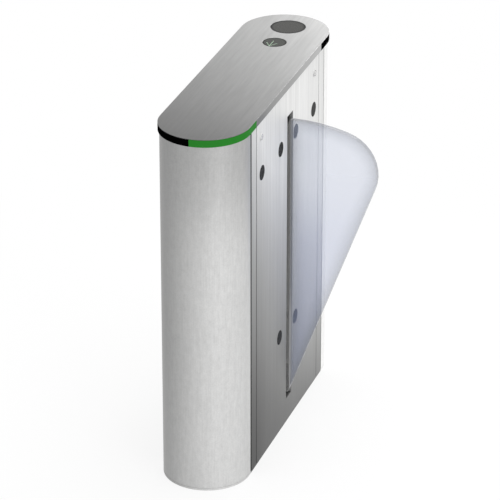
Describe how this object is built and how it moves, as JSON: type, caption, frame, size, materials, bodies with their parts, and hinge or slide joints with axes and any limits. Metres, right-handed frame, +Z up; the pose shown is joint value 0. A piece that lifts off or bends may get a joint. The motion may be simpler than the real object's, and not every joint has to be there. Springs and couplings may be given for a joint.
{
  "type": "wing gate cabinet",
  "caption": "Stadium-shaped stainless gate cabinet with a frosted wing that swings out through a slot, sensor lenses, and a lid with reader and indicator.",
  "frame": {"origin": "middle of the base plate's underside, on the floor", "axes": "+Z up; +X out of the long side that the wing leaves; +Y along the cabinet, towards the end with the reader"},
  "size_m": [0.4725, 0.878, 1],
  "materials": {
    "brushed_steel": "satin stainless, brushed along the lid and up the walls",
    "plated_steel": "zinc-plated, satin",
    "aluminium": "milled",
    "gear_steel": "hardened, lightly oiled",
    "painted_casting": "grey paint",
    "black_steel": "black powder coat",
    "rubber": "matte",
    "black_plastic": "satin black",
    "smoked_lens": "smoked, semi-gloss",
    "green_diffuser": "lit green diffuser",
    "circuit_board": "solder mask",
    "frosted_acrylic": "frosted, translucent, slightly blue"
  },
  "bodies": {
    "cabinet": {"base_plate": "brushed_steel", "near_column_shell": "brushed_steel", "far_column_shell": "brushed_steel", "corner_post_flap_near": "brushed_steel", "corner_post_flap_far": "brushed_steel", "corner_post_service_near": "brushed_steel", "corner_post_service_far": "brushed_steel", "top_ring": "plated_steel", "flap_side_panel": "brushed_steel", "service_panel": "brushed_steel", "lock_barrel_near": "plated_steel", "lock_barrel_far": "plated_steel", "hinge_bracket_near": "plated_steel", "hinge_bracket_far": "plated_steel", "lens_upper_outer_near": "smoked_lens", "lens_upper_inner_near": "smoked_lens", "lens_upper_inner_far": "smoked_lens", "lens_upper_outer_far": "smoked_lens", "lens_lower_near": "smoked_lens", "lens_lower_far": "smoked_lens", "beam_sensor_upper_outer_near": "black_plastic", "beam_sensor_upper_inner_near": "black_plastic", "beam_sensor_upper_inner_far": "black_plastic", "beam_sensor_upper_outer_far": "black_plastic", "beam_sensor_lower_near": "black_plastic", "beam_sensor_lower_far": "black_plastic", "near_bearing": "painted_casting", "far_bearing": "painted_casting", "drive_frame": "black_steel", "stop_buffer_closed": "rubber", "stop_buffer_open": "rubber", "gearbox": "painted_casting", "motor": "black_steel", "position_sensor_closed": "plated_steel", "position_sensor_open": "plated_steel", "electronics_plate": "plated_steel", "controller_box": "black_plastic", "power_supply": "plated_steel"},
    "wing_assembly": {"wing": "frosted_acrylic", "swing_arm": "aluminium", "clamp_plate": "aluminium", "clamp_bolt_1": "plated_steel", "clamp_bolt_2": "plated_steel", "clamp_bolt_3": "plated_steel", "toothed_sector": "gear_steel", "pivot_shaft": "plated_steel"},
    "pinion": {"drive_pinion": "gear_steel"},
    "lid_assembly": {"lid": "brushed_steel", "light_diffuser": "green_diffuser", "near_black_band": "black_plastic", "far_black_band": "black_plastic", "light_board": "circuit_board", "reader_window": "smoked_lens", "indicator_window": "smoked_lens", "reader_module": "black_plastic", "indicator_board": "circuit_board", "hinge_arm_near": "plated_steel", "hinge_arm_far": "plated_steel"},
    "near_cam": {"lock_cam_near": "plated_steel"},
    "far_cam": {"lock_cam_far": "plated_steel"}
  },
  "joints": [
    {"name": "wing_swing", "type": "hinge", "parent": "cabinet", "child": "wing_assembly", "pos_m": [0, 0, 0.09], "axis": [0, -1, 0], "range_deg": [0, 16]},
    {"name": "pinion_turn", "type": "hinge", "parent": "cabinet", "child": "pinion", "pos_m": [0, 0, 0.218], "axis": [0, 1, 0], "range_deg": [0, 98]},
    {"name": "lid_hinge", "type": "hinge", "parent": "cabinet", "child": "lid_assembly", "pos_m": [-0.1, 0, 0.965], "axis": [0, -1, 0], "range_deg": [0, 75]},
    {"name": "near_lock_turn", "type": "hinge", "parent": "cabinet", "child": "near_cam", "pos_m": [0.0927, -0.222, 0.932], "axis": [-1, 0, 0], "range_deg": [0, 90]},
    {"name": "far_lock_turn", "type": "hinge", "parent": "cabinet", "child": "far_cam", "pos_m": [0.0927, 0.222, 0.932], "axis": [1, 0, 0], "range_deg": [0, 90]}
  ],
  "couplings": [
    {"joint": "pinion_turn", "follows": "wing_swing", "ratio": 6.1111}
  ]
}
